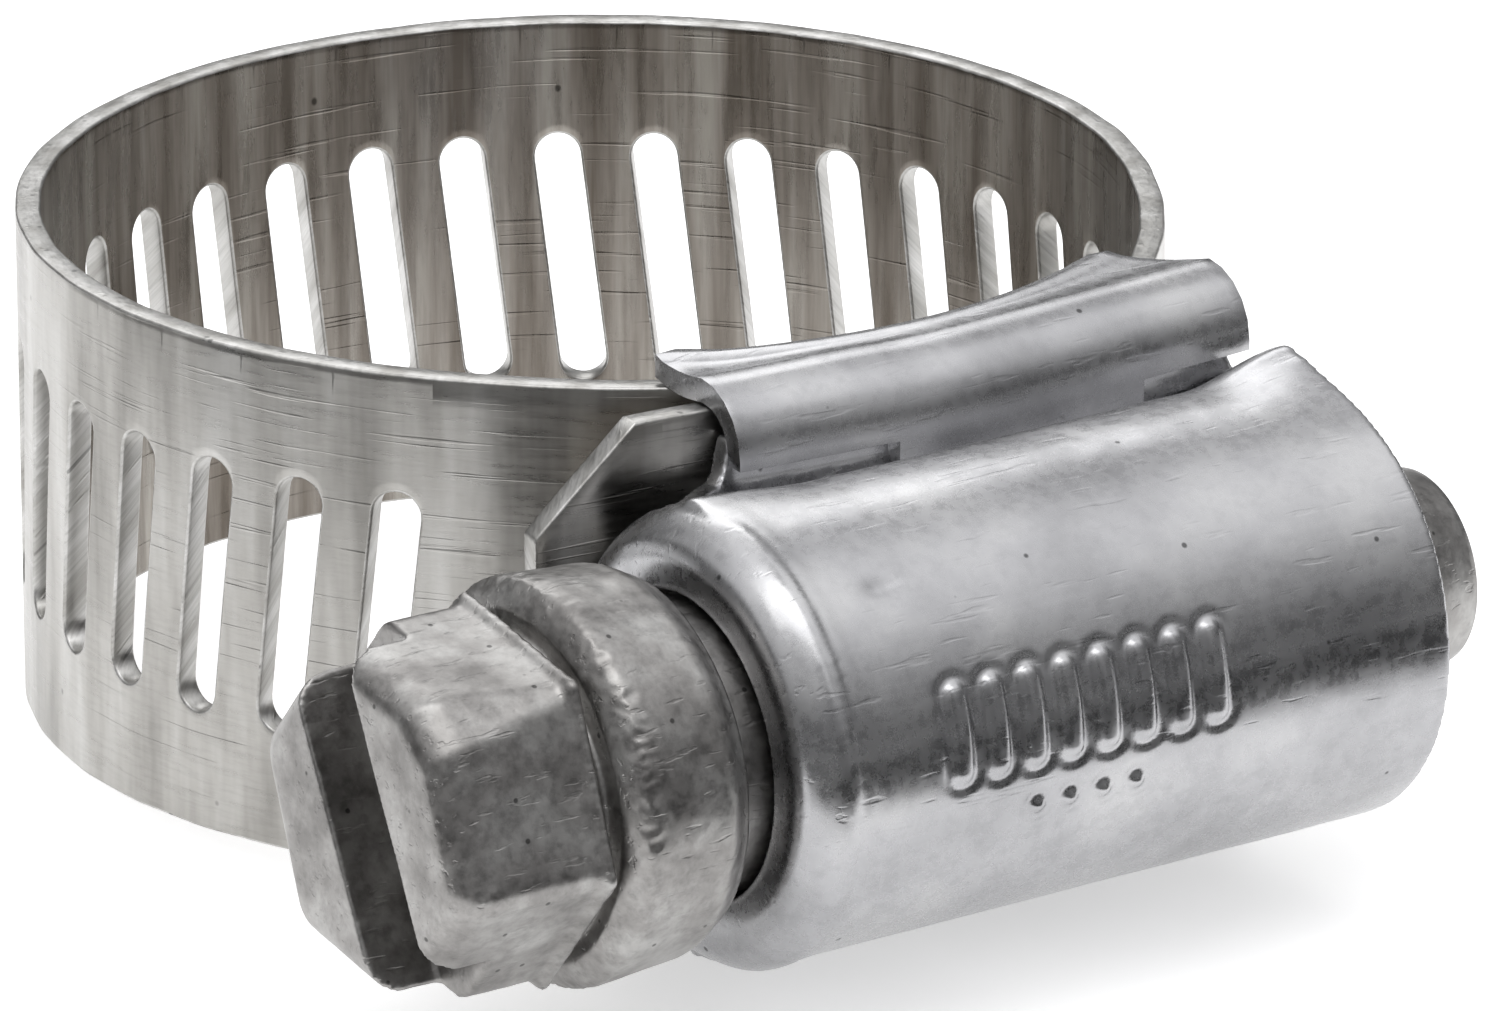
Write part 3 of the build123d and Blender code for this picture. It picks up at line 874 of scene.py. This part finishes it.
world = bpy.data.worlds.new("studio")
bpy.context.scene.world = world
world.use_nodes = True
tree = world.node_tree
tree.nodes.clear()
direction = addNode(tree, "ShaderNodeTexCoord").outputs["Generated"]
height = addNode(tree, "ShaderNodeSeparateXYZ", inputs={"Vector": direction}).outputs["Z"]
lifted = addNode(tree, "ShaderNodeMapRange", inputs={
    "Value": height, "From Min": -1.0, "From Max": 1.0}).outputs["Result"]


def grey(value):
    return value, value, value * 1.01, 1


sky = addNode(tree, "ShaderNodeValToRGB", settings={"stops": [
    (0.0, grey(studio["below"])), (0.49, grey(studio["below"])), (0.53, grey(studio["horizon"])),
    (0.58, grey(studio["horizon"] * 1.6)), (0.76, grey(0.62)), (0.9, grey(studio["overhead"])),
    (1.0, grey(studio["overhead"]))]},
    inputs={"Fac": lifted})
cards = addNode(tree, "ShaderNodeTexNoise", inputs={
    "Vector": addNode(tree, "ShaderNodeMapping", inputs={
        "Vector": direction, "Scale": (2.6, 2.6, 0.25)}).outputs["Vector"],
    "Scale": 1.0, "Detail": 1.0})
gaps = addNode(tree, "ShaderNodeMapRange", inputs={
    "Value": cards.outputs["Fac"], "From Min": 0.35, "From Max": 0.6, "To Min": 0.6, "To Max": 1.15})
lit = addNode(tree, "ShaderNodeMix", settings={"data_type": "RGBA", "blend_type": "MULTIPLY"},
              inputs={0: 1.0, 6: sky.outputs["Color"], 7: gaps.outputs["Result"]})
background = addNode(tree, "ShaderNodeBackground", inputs={"Color": lit.outputs[2], "Strength": 1.0})
addNode(tree, "ShaderNodeOutputWorld", inputs={"Surface": background.outputs["Background"]})

for name, where, sizes, power in (
        ("softboxTop", (-0.10, -0.12, 0.42), (0.34, 0.26), 0.5),
        ("softboxBack", (0.15, 0.35, 0.30), (0.3, 0.2), 0.35)):
    light = bpy.data.lights.new(name, "AREA")
    light.shape = "RECTANGLE"
    light.size, light.size_y = sizes
    light.energy = power
    lamp = bpy.data.objects.new(name, light)
    lamp.location = where
    lamp.rotation_euler = (Vector((0, -0.01, 0)) - Vector(where)).to_track_quat("-Z", "Y").to_euler()
    bpy.context.scene.collection.objects.link(lamp)

camera = {
    "azimuth": -33.53, "elevation": 19.79, "distance": 368.6, "lens": 355.83, "roll": -0.44,
    "aimRight": 0.6253, "aimDown": 0.2788,  # degrees, the view's centre from the hose axis
}
az, el, roll = (math.radians(camera[key]) for key in ("azimuth", "elevation", "roll"))
back = Vector((math.sin(az) * math.cos(el), -math.cos(az) * math.cos(el), math.sin(el)))
levelRight = (-back).cross(Vector((0, 0, 1))).normalized()
upright = levelRight.cross(-back)
rightDir = math.cos(roll) * levelRight + math.sin(roll) * upright
upDir = -math.sin(roll) * levelRight + math.cos(roll) * upright
aimRight, aimDown = (math.tan(math.radians(camera[key])) for key in ("aimRight", "aimDown"))
aim = (-back + rightDir * aimRight - upDir * aimDown).normalized()
rightDir = (rightDir - aim * rightDir.dot(aim)).normalized()
upDir = rightDir.cross(aim)
lens = bpy.data.cameras.new("camera")
lens.sensor_fit = "HORIZONTAL"
lens.sensor_width = 36
lens.lens = camera["lens"]
lens.clip_start = 0.01
cameraPiece = bpy.data.objects.new("camera", lens)
bpy.context.scene.collection.objects.link(cameraPiece)
spot = back * camera["distance"] * mm
cameraPiece.matrix_world = Matrix((
    (rightDir.x, upDir.x, -aim.x, spot.x), (rightDir.y, upDir.y, -aim.y, spot.y),
    (rightDir.z, upDir.z, -aim.z, spot.z), (0, 0, 0, 1)))
bpy.context.scene.camera = cameraPiece
bpy.context.scene.view_settings.view_transform = "Standard"
bpy.context.scene.view_settings.exposure = studio["exposure"]
print("studio made")
